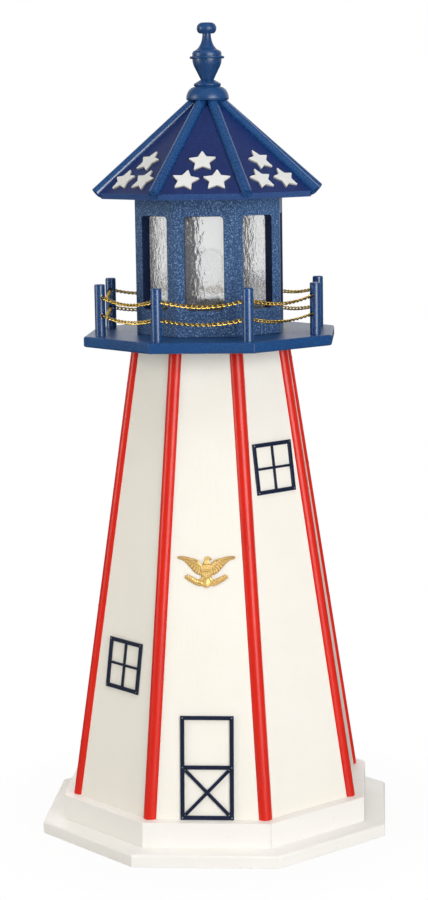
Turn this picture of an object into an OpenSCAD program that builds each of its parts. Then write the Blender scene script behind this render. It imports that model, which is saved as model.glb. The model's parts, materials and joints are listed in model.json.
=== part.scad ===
/* [Base] */
// Base board, across its flats
base_flats = 521; // [500:1:600]
// Thickness of the base board
base_t = 19; // [12:1:30]
// Flat taken off the top edges of the base board
base_ease = 2.5; // [1:0.5:5]
// Skirt of boards round the tower's foot, across its flats
skirt_flats = 458; // [450:1:490]
// Height of the skirt boards and of the foot frame behind them
skirt_h = 38; // [25:1:60]
// Thickness of the skirt boards
skirt_t = 19; // [15:1:25]
// Depth of the foot frame from front to back
foot_w = 38; // [28:1:50]
// Hole for the lamp's cord through the rear skirt board
cord_hole_d = 12.7; // [8:0.1:16]

/* [Tower] */
// Height of the tower walls
tower_h = 686; // [500:1:900]
// Tower walls at their foot, across the flats
tower_foot_flats = 422; // [400:1:430]
// Tower walls at their head, across the flats
tower_head_flats = 224; // [220:1:280]
// Thickness of the tower walls
wall_t = 15; // [12:1:16]
// Diameter of the round corner battens
batten_d = 21.4; // [19:0.1:26]
// How far the corner battens stand proud of the walls
batten_proud = 4.2; // [2:0.1:6]
// Thickness of the plate inside the head of the tower
head_plate_t = 16; // [10:1:25]
// Hole for the lamp's cord through the head plate and the deck
cord_way_d = 20; // [10:1:24]

/* [Door and windows of the tower] */
// Width of the door trim
door_w = 79; // [60:1:90]
// Height of the door trim
door_h = 153; // [110:1:200]
// Height of the door's middle rail above its foot
door_rail_z = 77; // [50:1:90]
// Width and height of each window trim
trim_window = 76; // [50:1:80]
// Height of the middle of the upper window above the base's foot
upper_window_z = 564; // [500:1:600]
// Height of the middle of the lower window above the base's foot
lower_window_z = 269; // [150:1:400]
// Width of the trim's outer bars
trim_bar = 6; // [4:0.5:8]
// Width of the window trim's crossing bars
trim_muntin = 3.6; // [2:0.1:5]
// Width of the door trim's crossed braces
trim_brace = 5; // [3:0.5:6]
// Thickness of the trim's bars
trim_t = 3; // [2:0.5:5]
// Wing span of the eagle ornament
eagle_span = 86; // [60:1:90]
// Thickness of the eagle ornament
eagle_t = 3.5; // [2:0.5:6]
// Height of the middle of the eagle above the base's foot
eagle_z = 418; // [350:1:500]

/* [Gallery] */
// Gallery deck, across its flats
deck_flats = 370; // [340:1:400]
// Thickness of the gallery deck
deck_t = 16; // [10:1:22]
// Flat taken off the top and bottom edges of the deck
deck_ease = 2; // [0.5:0.5:4]
// Diameter of the rail posts
post_d = 16; // [14:0.5:20]
// Height of the rail posts
post_h = 77; // [65:1:100]
// Distance from a corner of the deck in to the post's middle
post_inset = 26.5; // [20:0.5:32]
// Diameter of the holes in the posts for the chains
chain_hole_d = 8.6; // [8.4:0.1:9.6]
// Height of the upper chain's holes above the deck
upper_chain_z = 57.5; // [50:0.5:60]
// Height of the lower chain's holes above the deck
lower_chain_z = 30.5; // [22:0.5:34]
// How far the upper chain hangs below its holes
upper_sag = 8; // [4:0.5:9]
// How far the lower chain hangs below its holes
lower_sag = 7; // [4:0.5:9]
// Length of one chain link
link_l = 11.6; // [11:0.1:12.4]
// Width of one chain link
link_w = 6.4; // [5.8:0.1:6.6]
// Thickness of the chain's wire
link_wire = 1.6; // [1.3:0.1:1.7]
// Free play between one link and the next
link_play = 0.8; // [0.6:0.05:1]

/* [Lantern] */
// Lantern room, across its flats
lantern_flats = 216; // [200:1:226]
// Height of the lantern room's walls
lantern_h = 203; // [190:1:260]
// Thickness of the lantern room's walls
lantern_t = 15; // [10:1:18]
// Width of the window openings
window_w = 57; // [40:0.5:58]
// Height of the window openings
window_h = 137.5; // [100:0.5:142]
// Radius of the window openings' corners
window_r = 6; // [3:0.5:12]
// Height of the lantern walls above their window openings
window_head = 26; // [22:0.5:30]
// Thickness of the window panes
pane_t = 2.5; // [2:0.5:4]
// How far a pane runs past the opening on each side
pane_lap = 7; // [4:0.5:7]

/* [Lamp] */
// Diameter of the lamp holder's foot
holder_foot_d = 76; // [60:1:90]
// Diameter of the lamp holder's body
holder_d = 42; // [38:1:50]
// Height of the lamp holder
holder_h = 48; // [40:1:55]
// Diameter of the bulb's screw cap
bulb_cap_d = 26; // [24:1:27]
// Diameter of the bulb's glass
bulb_d = 50; // [40:1:60]
// Height of the bulb above the lamp holder
bulb_h = 76; // [70:1:85]

/* [Roof] */
// Underside of the eaves, across the flats
eave_flats = 309; // [290:1:330]
// Flat at the peak on which the finial stands, across its flats
peak_flats = 33; // [30:1:40]
// Height of the roof from the eaves' underside to the peak
roof_h = 143; // [110:1:170]
// Thickness of the roof panels
roof_t = 12; // [10:0.5:14]
// Diameter of the round hip ribs
rib_d = 16; // [12:0.5:18]
// Thickness of the board that closes the roof from below
soffit_t = 12; // [8:1:16]
// Height of the cleats that locate the roof in the lantern room
cleat_h = 12; // [8:1:14]
// Width of those cleats
cleat_w = 16; // [12:1:24]
// Clearance between those cleats and the lantern room's walls
lid_clear = 1; // [0.5:0.1:2]
// Width and height of a roof star
star_d = 42; // [28:1:44]
// Width of a star between its points, as a share of its full width
star_waist = 0.52; // [0.38:0.01:0.56]
// Thickness of a roof star
star_t = 3.5; // [2:0.5:5]
// Distance of the lower stars from the middle of a panel
star_spread = 22.8; // [21:0.1:26]
// Distance from the peak down the slope to the upper star
upper_star_s = 133; // [120:1:135]
// Distance from the peak down the slope to the lower stars
lower_star_s = 172; // [165:1:176]

/* [Finial] */
// Height of the finial
finial_h = 114; // [90:1:140]
// Diameter of the finial's foot
finial_foot_d = 64; // [54:1:68]
// Diameter of the thin collar round the finial's urn
finial_collar_d = 52; // [46:1:60]
// Diameter of the flat knob on top
finial_knob_d = 29.6; // [24:0.1:36]
// Diameter of the stud that holds the finial
stud_d = 6; // [4:0.5:8]
// Depth of the stud in the finial
stud_depth = 26; // [15:1:30]

/* [Fit] */
// Clearance round battens, ribs and studs in their grooves and holes
fit = 0.15; // [0.1:0.05:0.25]
// Width of the joint line where two boards meet in a mitre
mitre = 0.2; // [0.1:0.05:0.4]
// Thickness of the glue line under the deck, finial, trims, eagle and stars
glue = 0.05; // [0.03:0.01:0.1]
// Gap between the lantern room's walls and the roof that rests on them
roof_seat = 0.3; // [0.2:0.05:0.5]

/* [Hidden] */
SIDES = 8;
TURN = 360 / SIDES;
HALF = TURN / 2;
// Height levels
z_skirt = base_t;
z_tower = z_skirt + skirt_h;
z_head = z_tower + tower_h;
z_deck = z_head + glue;
z_floor = z_deck + deck_t;
z_eave = z_floor + lantern_h;
z_peak = z_eave + roof_h;
z_window = z_eave - window_head - window_h;
// Lean of the tower walls
foot_in = tower_foot_flats / 2;
head_in = tower_head_flats / 2;
lean = atan((foot_in - head_in) / tower_h);
wall_in = wall_t / cos(lean);
// Axis of a corner batten: its middle lies this far behind the face of the walls
batten_sink = (batten_d / 2 - batten_proud) / cos(lean);
batten_foot_r = (foot_in - batten_sink) / cos(HALF);
batten_head_r = (head_in - batten_sink) / cos(HALF);
batten_lean = atan((batten_foot_r - batten_head_r) / tower_h);
// Posts and chains
post_r = deck_flats / 2 / cos(HALF) - post_inset;
bay = 2 * post_r * sin(HALF);
bay_in = post_r * cos(HALF);
link_pitch = link_l - 2 * link_wire - link_play;
link_end_gap = 1.6;
link_count = floor((bay - 2 * link_end_gap - link_l) / link_pitch) + 1;
hang_end = bay / 2 - post_d / 2 + 1;
post_round = 2;
// Socket for the bulb's screw cap in the lamp holder
holder_foot_h = 6;
holder_socket_depth = 26;
// Roof slope, from the flat at the peak and the square-cut edge at the eaves
eave_in = eave_flats / 2;
peak_in = peak_flats / 2;
roof_run = eave_in - peak_in;
pitch = atan2(roof_h, roof_run) - asin(roof_t / norm([roof_run, roof_h]));
edge_in = eave_in + roof_t * sin(pitch);
z_edge = z_eave + roof_t * cos(pitch);
hip_foot_r = edge_in / cos(HALF);
hip_peak_r = peak_in / cos(HALF);
hip_slope = atan((z_peak - z_edge) / (hip_foot_r - hip_peak_r));
// Washer of the finial's stud, which bears on the undersides of the panels below the peak
washer_r = 2 * stud_d;
washer_t = 2;
nut_d = 2 * stud_d;
nut_t = 0.8 * stud_d;
z_washer = z_peak - (washer_r + roof_t / sin(pitch) - peak_in) * tan(pitch) - fit;
// Length that reaches past everything it cuts
past = 2 * z_peak + base_flats;

base_white = "#f4f1ea";
wall_white = "#efece0";
batten_red = "#d8342a";
deck_blue = "#24508f";
roof_blue = "#22357a";
lantern_blue = "#2f4a78";
trim_navy = "#27304f";
gold = "#d9a441";
star_ivory = "#e6dfc4";
inner_wood = "#b9986a";

// Turns a piece that faces along X to side number side; side 1 is the front and the count runs to its right
module to_side(side) {
  rotate([0, 0, (side - 1) * TURN - 90])
    children();
}

module each_side() {
  for (side = [1:SIDES])
    to_side(side)
      children();
}

// Turns a piece that lies along X to every corner
module each_corner() {
  for (side = [1:SIDES])
    rotate([0, 0, (side - 1) * TURN - 90 + HALF])
      children();
}

module octagon(flats) {
  rotate(HALF)
    circle(r = flats / 2 / cos(HALF), $fn = SIDES);
}

// The eighth of space that faces along X, less half a mitre joint on each side
module sector() {
  translate([mitre / 2 / sin(HALF), 0, -past])
    linear_extrude(2 * past)
      polygon([[0, 0], [past, -past * tan(HALF)], [past, past * tan(HALF)]]);
}

// A board that faces along X, from its outline in the X and Z plane, mitred to its neighbours
module mitred(outline) {
  intersection() {
    rotate([90, 0, 0])
      linear_extrude(past, center = true)
        polygon(outline);
    sector();
  }
}

module rounded_rectangle(w, h, r) {
  square([w - 2 * r, h], center = true);
  square([w, h - 2 * r], center = true);
  for (x = [-1, 1], y = [-1, 1])
    translate([x * (w / 2 - r), y * (h / 2 - r)])
      circle(r = r, $fn = 32);
}

// Edge cutter along the side of an octagon at one height
module ease_edges(flats, z, ease) {
  each_side()
    translate([flats / 2, 0, z])
      rotate([0, 45, 0])
        cube([ease * sqrt(2), flats, ease * sqrt(2)], center = true);
}

// Points of an elliptic arc in a turned outline
function arc(r, z, rr, rz, from, to, steps = 8) =
  [for (k = [0:steps])
    let (a = from + (to - from) * k / steps)
    [r + rr * cos(a), z + rz * sin(a)]];

module base_board() {
  color(base_white)
    difference() {
      linear_extrude(base_t)
        octagon(base_flats);
      ease_edges(base_flats, base_t, base_ease);
    }
}

module cord_hole() {
  to_side(5)
    translate([0, 0, z_skirt + skirt_h / 2])
      rotate([0, 90, 0])
        cylinder(h = past, d = cord_hole_d, $fn = 32);
}

module skirt_boards() {
  outer = skirt_flats / 2;
  color(base_white)
    difference() {
      each_side()
        mitred([[outer, z_skirt], [outer, z_tower], [outer - skirt_t, z_tower], [outer - skirt_t, z_skirt]]);
      cord_hole();
    }
}

module foot_frame() {
  outer = skirt_flats / 2 - skirt_t;
  color(inner_wood)
    difference() {
      each_side()
        mitred([[outer, z_skirt], [outer, z_tower], [outer - foot_w, z_tower], [outer - foot_w, z_skirt]]);
      cord_hole();
    }
}

// A corner batten, or the groove for it where spare is more than nothing
module batten(spare) {
  intersection() {
    translate([batten_foot_r, 0, z_tower])
      rotate([0, -batten_lean, 0])
        cylinder(h = 2 * past, r = batten_d / 2 + spare, center = true, $fn = 48);
    translate([-past / 2, -past / 2, z_tower - (spare > 0 ? 1 : 0)])
      cube([past, past, tower_h + (spare > 0 ? 2 : 0)]);
  }
}

module tower_wall(side) {
  color(wall_white)
    to_side(side)
      difference() {
        mitred([
          [foot_in, z_tower], [head_in, z_head], [head_in - wall_in, z_head], [foot_in - wall_in, z_tower]
        ]);
        for (turn = [-HALF, HALF])
          rotate([0, 0, turn])
            batten(fit);
      }
}

module corner_battens() {
  color(batten_red)
    each_corner()
      batten(0);
}

module head_plate() {
  color(inner_wood)
    difference() {
      translate([0, 0, z_head - head_plate_t])
        linear_extrude(head_plate_t)
          octagon(2 * (head_in - wall_in - fit));
      each_corner()
        batten(fit);
      translate([0, 0, z_head - head_plate_t - 1])
        cylinder(h = head_plate_t + 2, d = cord_way_d, $fn = 48);
    }
}

// Lays a flat piece on the face of a tower wall: X runs to the right, Y up the wall, Z out of it
module on_wall(side, z) {
  to_side(side)
    translate([foot_in - (z - z_tower) * tan(lean), 0, z])
      rotate([0, -lean, 0])
        rotate([90, 0, 90])
          translate([0, 0, glue])
            children();
}

module bar(w, h) {
  linear_extrude(trim_t)
    square([w, h], center = true);
}

// Four bars round an opening, butted at the corners
module bar_frame(w, h) {
  for (s = [-1, 1]) {
    translate([s * (w - trim_bar) / 2, 0, 0])
      bar(trim_bar, h);
    translate([0, s * (h - trim_bar) / 2, 0])
      bar(w - 2 * trim_bar, trim_bar);
  }
}

module door_trim() {
  inner_w = door_w - 2 * trim_bar;
  panel_h = door_rail_z - 1.5 * trim_bar;
  panel_y = -door_h / 2 + trim_bar + panel_h / 2;
  brace = norm([inner_w, panel_h]);
  color(trim_navy)
    on_wall(1, z_tower + door_h / 2 * cos(lean)) {
      bar_frame(door_w, door_h);
      translate([0, door_rail_z - door_h / 2, 0])
        bar(inner_w, trim_bar);
      translate([0, panel_y, 0])
        linear_extrude(trim_t)
          intersection() {
            for (s = [-1, 1])
              rotate(s * atan(panel_h / inner_w))
                square([brace, trim_brace], center = true);
            square([inner_w, panel_h], center = true);
          }
    }
}

module window_trim(side, z) {
  inner = trim_window - 2 * trim_bar;
  arm = (inner - trim_muntin) / 2;
  on_wall(side, z) {
    bar_frame(trim_window, trim_window);
    bar(trim_muntin, inner);
    for (s = [-1, 1])
      translate([s * (inner + trim_muntin) / 4, 0, 0])
        bar(arm, trim_muntin);
  }
}

module window_trims() {
  color(trim_navy) {
    window_trim(2, upper_window_z);
    window_trim(8, lower_window_z);
  }
}

// One wing, spread to the right, with its row of feather tips below
module wing(span, h) {
  feathers = 8;
  polygon(concat(
    [[0, -0.09 * h], [0, 0.13 * h], [0.14 * span, 0.14 * h], [0.26 * span, 0.28 * h]],
    [[0.37 * span, 0.4 * h], [0.7 * span, 0.42 * h], [span, 0.49 * h]],
    [for (k = [1:2 * feathers])
      let (t = k / (2 * feathers), notch = k % 2 == 0 ? 0 : 0.05 * t * h)
      [span * (1 - 0.78 * t), h * (0.46 - 0.56 * t * t * (3 - 2 * t)) + notch]]
  ));
}

// Points along one edge of the leafy branch: side 1 is its upper edge, side -1 its lower one
function branch_edge(span, h, side) = [
  for (k = [0:10])
    let (t = k / 10, a = 22 + 18 * t, w = (k % 2 == 0 ? 0.09 : 0.14) * (1 - 0.35 * t) * span * side)
    [(0.05 + 0.6 * t) * span - w * sin(a), (-0.4 + 0.24 * pow(t, 1.4)) * h + w * cos(a)]
];

// A leafy branch, from the foot of the body up and out to the right
module branch(span, h) {
  lower = branch_edge(span, h, -1);
  polygon(concat(branch_edge(span, h, 1), [for (k = [10:-1:0]) lower[k]]));
}

module eagle_outline() {
  half = eagle_span / 2;
  h = 0.55 * eagle_span;
  for (s = [0, 1])
    mirror([s, 0]) {
      wing(half, h);
      branch(half, h);
    }
  // Shield and tail
  polygon([
    [-0.2 * half, 0.12 * h], [0.2 * half, 0.12 * h], [0.17 * half, -0.15 * h], [0.19 * half, -0.42 * h],
    [0, -0.49 * h], [-0.19 * half, -0.42 * h], [-0.17 * half, -0.15 * h]
  ]);
  // Neck and head, looking to the right
  polygon([
    [-0.15 * half, 0.1 * h], [-0.07 * half, 0.35 * h], [-0.03 * half, 0.45 * h], [0.05 * half, 0.49 * h],
    [0.13 * half, 0.46 * h], [0.2 * half, 0.41 * h], [0.12 * half, 0.36 * h], [0.17 * half, 0.1 * h]
  ]);
}

module eagle_ornament() {
  color(gold)
    on_wall(1, eagle_z)
      linear_extrude(eagle_t)
        eagle_outline();
}

module gallery_deck() {
  color(deck_blue)
    difference() {
      translate([0, 0, z_deck])
        linear_extrude(deck_t)
          octagon(deck_flats);
      for (z = [z_deck, z_floor])
        ease_edges(deck_flats, z, deck_ease);
      translate([0, 0, z_deck - 1])
        cylinder(h = deck_t + 2, d = cord_way_d, $fn = 48);
    }
}

// The two half bores of one chain row, which meet in the middle of the post
module chain_holes(z) {
  for (s = [-1, 1])
    translate([0, 0, z])
      rotate([0, 0, s * (90 + HALF)])
        translate([-chain_hole_d / 4, 0, 0])
          rotate([0, 90, 0])
            cylinder(h = post_d, d = chain_hole_d, $fn = 32);
}

module rail_posts() {
  color(deck_blue)
    each_corner()
      translate([post_r, 0, z_floor])
        difference() {
          rotate_extrude($fn = 48)
            polygon(concat(
              [[0, 0], [post_d / 2, 0]],
              arc(post_d / 2 - post_round, post_h - post_round, post_round, post_round, 0, 90, 4),
              [[0, post_h]]
            ));
          chain_holes(upper_chain_z);
          chain_holes(lower_chain_z);
        }
}

// An oval chain link that lies along X
module link() {
  straight = link_l - link_w;
  module oval(w) {
    square([straight, w], center = true);
    for (s = [-1, 1])
      translate([s * straight / 2, 0])
        circle(d = w, $fn = 24);
  }
  linear_extrude(link_wire, center = true)
    difference() {
      oval(link_w);
      oval(link_w - 2 * link_wire);
    }
}

// Drop of a chain below its holes at distance y from the middle of the bay
function drop(y, sag) = abs(y) < hang_end ? sag * (1 - pow(y / hang_end, 2)) : 0;

// One swag of chain from post to post, its links turned by a quarter in turn
module swag(side, z, sag) {
  color(gold)
    to_side(side)
      for (k = [0:link_count - 1]) {
        y = (k - (link_count - 1) / 2) * link_pitch;
        z_in = drop(y - link_pitch / 2, sag);
        z_out = drop(y + link_pitch / 2, sag);
        translate([bay_in, y, z_floor + z - (z_in + z_out) / 2])
          rotate([atan((z_in - z_out) / link_pitch), 0, 0])
            rotate([0, 0, 90])
              rotate([k % 2 == 0 ? 45 : -45, 0, 0])
                link();
      }
}

module lantern_wall(side) {
  outer = lantern_flats / 2;
  inner = outer - lantern_t;
  z_top = z_eave - roof_seat;
  color(lantern_blue)
    to_side(side)
      difference() {
        mitred([[outer, z_floor], [outer, z_top], [inner, z_top], [inner, z_floor]]);
        translate([inner - 1, 0, z_window + window_h / 2])
          rotate([90, 0, 90])
            linear_extrude(lantern_t + 2)
              rounded_rectangle(window_w, window_h, window_r);
      }
}

module window_panes() {
  color("#dfe3e4")
    each_side()
      translate([
        lantern_flats / 2 - lantern_t - pane_t,
        -window_w / 2 - pane_lap,
        z_window - pane_lap
      ])
        cube([pane_t, window_w + 2 * pane_lap, window_h + 2 * pane_lap]);
}

module lamp_holder() {
  color("#efe9dc")
    translate([0, 0, z_floor])
      difference() {
        union() {
          cylinder(h = holder_foot_h, d = holder_foot_d, $fn = 64);
          cylinder(h = holder_h, d = holder_d, $fn = 64);
        }
        translate([0, 0, holder_h - holder_socket_depth])
          cylinder(h = holder_socket_depth + 1, d = bulb_cap_d + 4 * fit, $fn = 48);
      }
}

module bulb_cap() {
  color("silver")
    translate([0, 0, z_floor + holder_h - holder_socket_depth])
      cylinder(h = holder_socket_depth + 2, d = bulb_cap_d, $fn = 48);
}

// A pear-shaped bulb: its neck stands in the cap and its round head is on top
module bulb_glass() {
  head = bulb_d / 2;
  neck = bulb_cap_d / 2 - 0.5;
  flare = bulb_h - 2 - head;
  color("#fbf6e6")
    translate([0, 0, z_floor + holder_h + 2])
      rotate_extrude($fn = 64)
        polygon(concat(
          [[0, 0], [neck, 0]],
          [for (k = [0:10])
            let (t = k / 10)
            [neck + (head - neck) * (1 - cos(180 * t)) / 2, 2 + (flare - 2) * t]],
          arc(0, flare, head, head, 8, 82, 8),
          [[0, bulb_h - 2]]
        ));
}

module roof_panel(side) {
  color(roof_blue)
    to_side(side)
      difference() {
        mitred([
          [eave_in, z_eave], [edge_in, z_edge], [peak_in, z_peak], [peak_in - roof_t / sin(pitch), z_peak]
        ]);
        for (turn = [-HALF, HALF])
          rotate([0, 0, turn])
            hip(fit);
        stud_hole();
      }
}

// A round rib along the hip, or the groove for it where spare is more than nothing
module hip(spare) {
  translate([hip_foot_r, 0, z_edge])
    rotate([0, -90 + hip_slope, 0])
      translate([0, 0, spare > 0 ? -roof_t : 0])
        cylinder(h = past, r = rib_d / 2 + spare, $fn = 48);
}

module roof_ribs() {
  color(deck_blue)
    each_corner()
      difference() {
        intersection() {
          hip(0);
          sector();
          translate([-past / 2, -past / 2, 0])
            cube([past, past, z_peak]);
        }
        stud_hole();
      }
}

module stud_hole() {
  translate([0, 0, z_peak - past])
    cylinder(h = 2 * past, d = stud_d + 2 * fit, $fn = 32);
}

module soffit_board() {
  color(lantern_blue)
    difference() {
      translate([0, 0, z_eave])
        linear_extrude(soffit_t)
          octagon(eave_flats);
      each_side()
        translate([eave_in, 0, z_eave])
          rotate([0, pitch - 90, 0])
            translate([0, -past / 2, -past / 2])
              cube([past, past, past]);
    }
}

module locating_cleats() {
  outer = lantern_flats / 2 - lantern_t - lid_clear;
  color(inner_wood)
    for (side = [1:2:SIDES])
      to_side(side)
        intersection() {
          translate([outer - cleat_w, -outer * tan(HALF) + lid_clear, z_eave - cleat_h])
            cube([cleat_w, 2 * (outer * tan(HALF) - lid_clear), cleat_h]);
          sector();
        }
}

module star() {
  rotate(180)
    polygon([
      for (k = [0:9])
        let (r = star_d / 2 * (k % 2 == 0 ? 1 : star_waist))
        [r * cos(36 * k), r * sin(36 * k)]
    ]);
}

module roof_stars() {
  color(star_ivory)
    each_side()
      for (place = [[upper_star_s, 0], [lower_star_s, -star_spread], [lower_star_s, star_spread]])
        translate([peak_in + place[0] * cos(pitch), place[1], z_peak - place[0] * sin(pitch)])
          rotate([0, pitch, 0])
            translate([0, 0, glue])
              linear_extrude(star_t)
                star();
}

// The turned finial: foot dome, ring, urn, thin collar, waisted neck and flat knob
module finial() {
  foot = finial_foot_d / 2;
  collar = finial_collar_d / 2;
  knob = finial_knob_d / 2;
  h = finial_h;
  urn = 0.845 * collar;
  waist = 0.31 * foot;
  ring = 0.64 * foot;
  lip = 1.8;
  color(deck_blue)
    translate([0, 0, z_peak + glue])
      difference() {
        rotate_extrude($fn = 64)
          polygon(concat(
            [[0, 0], [0.98 * foot, 0]],
            arc(0.55 * foot, 0.02 * h, 0.45 * foot, 0.155 * h, 0, 84, 10),
            arc(ring - lip, 0.2 * h, lip, 0.018 * h, -60, 75, 5),
            [[waist, 0.264 * h]],
            arc(-1.2 * urn, 0.534 * h, 2.2 * urn, 0.312 * h, -24, 0, 8),
            arc(collar - lip, 0.551 * h, lip, 0.016 * h, -90, 90, 6),
            [[urn, 0.567 * h], [urn, 0.612 * h]],
            arc(urn, 0.86 * h, urn - 0.43 * knob, 0.225 * h, 262, 180, 10),
            arc(0.45 * knob, 0.925 * h, 0.55 * knob, 0.075 * h, -60, 90, 12),
            [[0, h]]
          ));
        translate([0, 0, -1])
          cylinder(h = stud_depth + 1 + fit, d = stud_d + 2 * fit, $fn = 32);
      }
}

// Stud with the washer and nut that draw the finial down on the peak
module finial_stud() {
  z_end = z_washer - washer_t - nut_t - stud_d;
  color("silver") {
    translate([0, 0, z_end])
      cylinder(h = z_peak + stud_depth - z_end, d = stud_d, $fn = 32);
    translate([0, 0, z_washer - washer_t])
      cylinder(h = washer_t, r = washer_r, $fn = 48);
    translate([0, 0, z_washer - washer_t - nut_t])
      cylinder(h = nut_t, d = nut_d, $fn = 6);
  }
}

base_board();
skirt_boards();
foot_frame();
for (side = [1:SIDES])
  tower_wall(side);
corner_battens();
head_plate();
door_trim();
window_trims();
eagle_ornament();
gallery_deck();
rail_posts();
for (side = [1:SIDES]) {
  swag(side, upper_chain_z, upper_sag);
  swag(side, lower_chain_z, lower_sag);
}
for (side = [1:SIDES])
  lantern_wall(side);
window_panes();
lamp_holder();
bulb_cap();
bulb_glass();
for (side = [1:SIDES])
  roof_panel(side);
roof_ribs();
soffit_board();
locating_cleats();
roof_stars();
finial();
finial_stud();
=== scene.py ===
import json
import math
import random

import bmesh
import bpy
from mathutils import Matrix, Vector

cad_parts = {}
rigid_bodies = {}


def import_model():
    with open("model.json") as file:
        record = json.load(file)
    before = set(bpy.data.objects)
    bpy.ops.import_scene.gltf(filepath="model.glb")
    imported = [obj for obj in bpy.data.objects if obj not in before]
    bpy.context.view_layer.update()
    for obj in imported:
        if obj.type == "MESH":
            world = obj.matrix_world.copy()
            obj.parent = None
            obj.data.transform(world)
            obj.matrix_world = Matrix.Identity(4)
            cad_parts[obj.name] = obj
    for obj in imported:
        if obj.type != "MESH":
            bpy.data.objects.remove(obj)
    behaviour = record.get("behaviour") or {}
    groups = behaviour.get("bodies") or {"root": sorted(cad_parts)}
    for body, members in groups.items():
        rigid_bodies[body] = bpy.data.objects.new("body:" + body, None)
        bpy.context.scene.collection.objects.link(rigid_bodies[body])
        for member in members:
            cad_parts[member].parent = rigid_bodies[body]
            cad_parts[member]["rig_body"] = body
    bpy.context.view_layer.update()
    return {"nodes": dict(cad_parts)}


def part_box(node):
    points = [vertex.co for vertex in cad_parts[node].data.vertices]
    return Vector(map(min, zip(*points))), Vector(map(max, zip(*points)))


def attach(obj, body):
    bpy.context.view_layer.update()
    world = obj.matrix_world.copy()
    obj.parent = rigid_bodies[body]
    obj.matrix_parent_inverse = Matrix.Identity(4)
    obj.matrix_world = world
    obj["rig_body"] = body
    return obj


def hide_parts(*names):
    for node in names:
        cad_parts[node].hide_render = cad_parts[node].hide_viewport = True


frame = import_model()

MM = 0.001
SIDES = 8
TURN = math.tau / SIDES
HALF = TURN / 2

# Levels and sizes that the pieces share with the frame, in millimetres. IN is the distance from the
# axis to a flat, D a diameter and T a thickness. RIM_REACH is half the width in which a lantern wall's
# edges belong to its window, and WINDOW_HEAD is how far below the soffit board the window ends.
Z_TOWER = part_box("skirt_boards")[1].z / MM
Z_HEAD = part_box("tower_wall_1")[1].z / MM
Z_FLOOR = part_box("gallery_deck")[1].z / MM
Z_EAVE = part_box("soffit_board")[0].z / MM
Z_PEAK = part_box("roof_panel_1")[1].z / MM
FOOT_IN = -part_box("tower_wall_1")[0].y / MM
HEAD_IN = 112
TOWER_H = Z_HEAD - Z_TOWER
LEAN = math.atan((FOOT_IN - HEAD_IN) / TOWER_H)
BATTEN_D = 21.4
BATTEN_PROUD = 4.2
LANTERN_IN = -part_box("lantern_wall_1")[0].y / MM
LANTERN_T = 15
WINDOW_W = 57
WINDOW_H = 137.5
WINDOW_HEAD = 26
RIM_REACH = 36
EAVE_IN = 154.5
PEAK_IN = 16.5
ROOF_T = 12
RUN = EAVE_IN - PEAK_IN
PITCH = math.atan2(Z_PEAK - Z_EAVE, RUN) - math.asin(ROOF_T / math.hypot(RUN, Z_PEAK - Z_EAVE))
POST_R = 173.75
POST_D = 16
BAY = 2 * POST_R * math.sin(HALF)
BAY_IN = POST_R * math.cos(HALF)
GLUE = 0.05

# Stretch of a paint's brush marks along each axis: none, and drawn out up the object
EVEN = (1, 1, 1)
UPRIGHT = (1, 1, 0.05)


# Camera

FRAME_HEIGHT_PX = 900
FOCAL_PX = 2196.53
CAMERA_AZIMUTH = math.radians(4.52)
CAMERA_DISTANCE = 3.3271
CAMERA_HEIGHT = 1.07643
CAMERA_ROLL = math.radians(-0.88)
AIM_RIGHT = 0.00155
AIM_HEIGHT = 0.57561


def make_camera():
    """The camera that took the photo, as fitted to it."""
    camera = bpy.data.objects.new("camera", bpy.data.cameras.new("camera"))
    bpy.context.scene.collection.objects.link(camera)
    bpy.context.scene.camera = camera
    camera.data.sensor_width = 36
    camera.data.lens = FOCAL_PX / FRAME_HEIGHT_PX * camera.data.sensor_width
    camera.data.clip_end = 60
    sin, cos = math.sin(CAMERA_AZIMUTH), math.cos(CAMERA_AZIMUTH)
    place = Vector((CAMERA_DISTANCE * sin, -CAMERA_DISTANCE * cos, CAMERA_HEIGHT))
    aim = Vector((AIM_RIGHT * cos, AIM_RIGHT * sin, AIM_HEIGHT))
    back = (place - aim).normalized()
    right = Vector((0, 0, 1)).cross(back).normalized()
    up = back.cross(right)
    turned_right = right * math.cos(CAMERA_ROLL) + up * math.sin(CAMERA_ROLL)
    turned_up = up * math.cos(CAMERA_ROLL) - right * math.sin(CAMERA_ROLL)
    axes = Matrix((turned_right, turned_up, back)).transposed().to_4x4()
    camera.matrix_world = Matrix.Translation(place) @ axes


# Finishes


def rgb(text):
    """Linear colour with alpha from a hex colour as it looks on the screen."""
    parts = [int(text[i:i + 2], 16) / 255 for i in (1, 3, 5)]
    return tuple(c / 12.92 if c <= 0.04045 else ((c + 0.055) / 1.055) ** 2.4 for c in parts) + (1.0,)


class Socket:
    """A shader value. Arithmetic on it adds the Math nodes."""

    def __init__(self, finish, socket):
        self.finish = finish
        self.socket = socket

    def _math(self, operation, *values):
        return self.finish.node("ShaderNodeMath", {"operation": operation}, dict(enumerate(values)))

    def __add__(self, other):
        return self._math("ADD", self, other)

    def __sub__(self, other):
        return self._math("SUBTRACT", self, other)

    def __rsub__(self, other):
        return self._math("SUBTRACT", other, self)

    def __mul__(self, other):
        return self._math("MULTIPLY", self, other)

    __radd__ = __add__
    __rmul__ = __mul__

    def limited(self):
        """The value held between 0 and 1."""
        return self.finish.node("ShaderNodeClamp", {}, {0: self})


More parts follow.
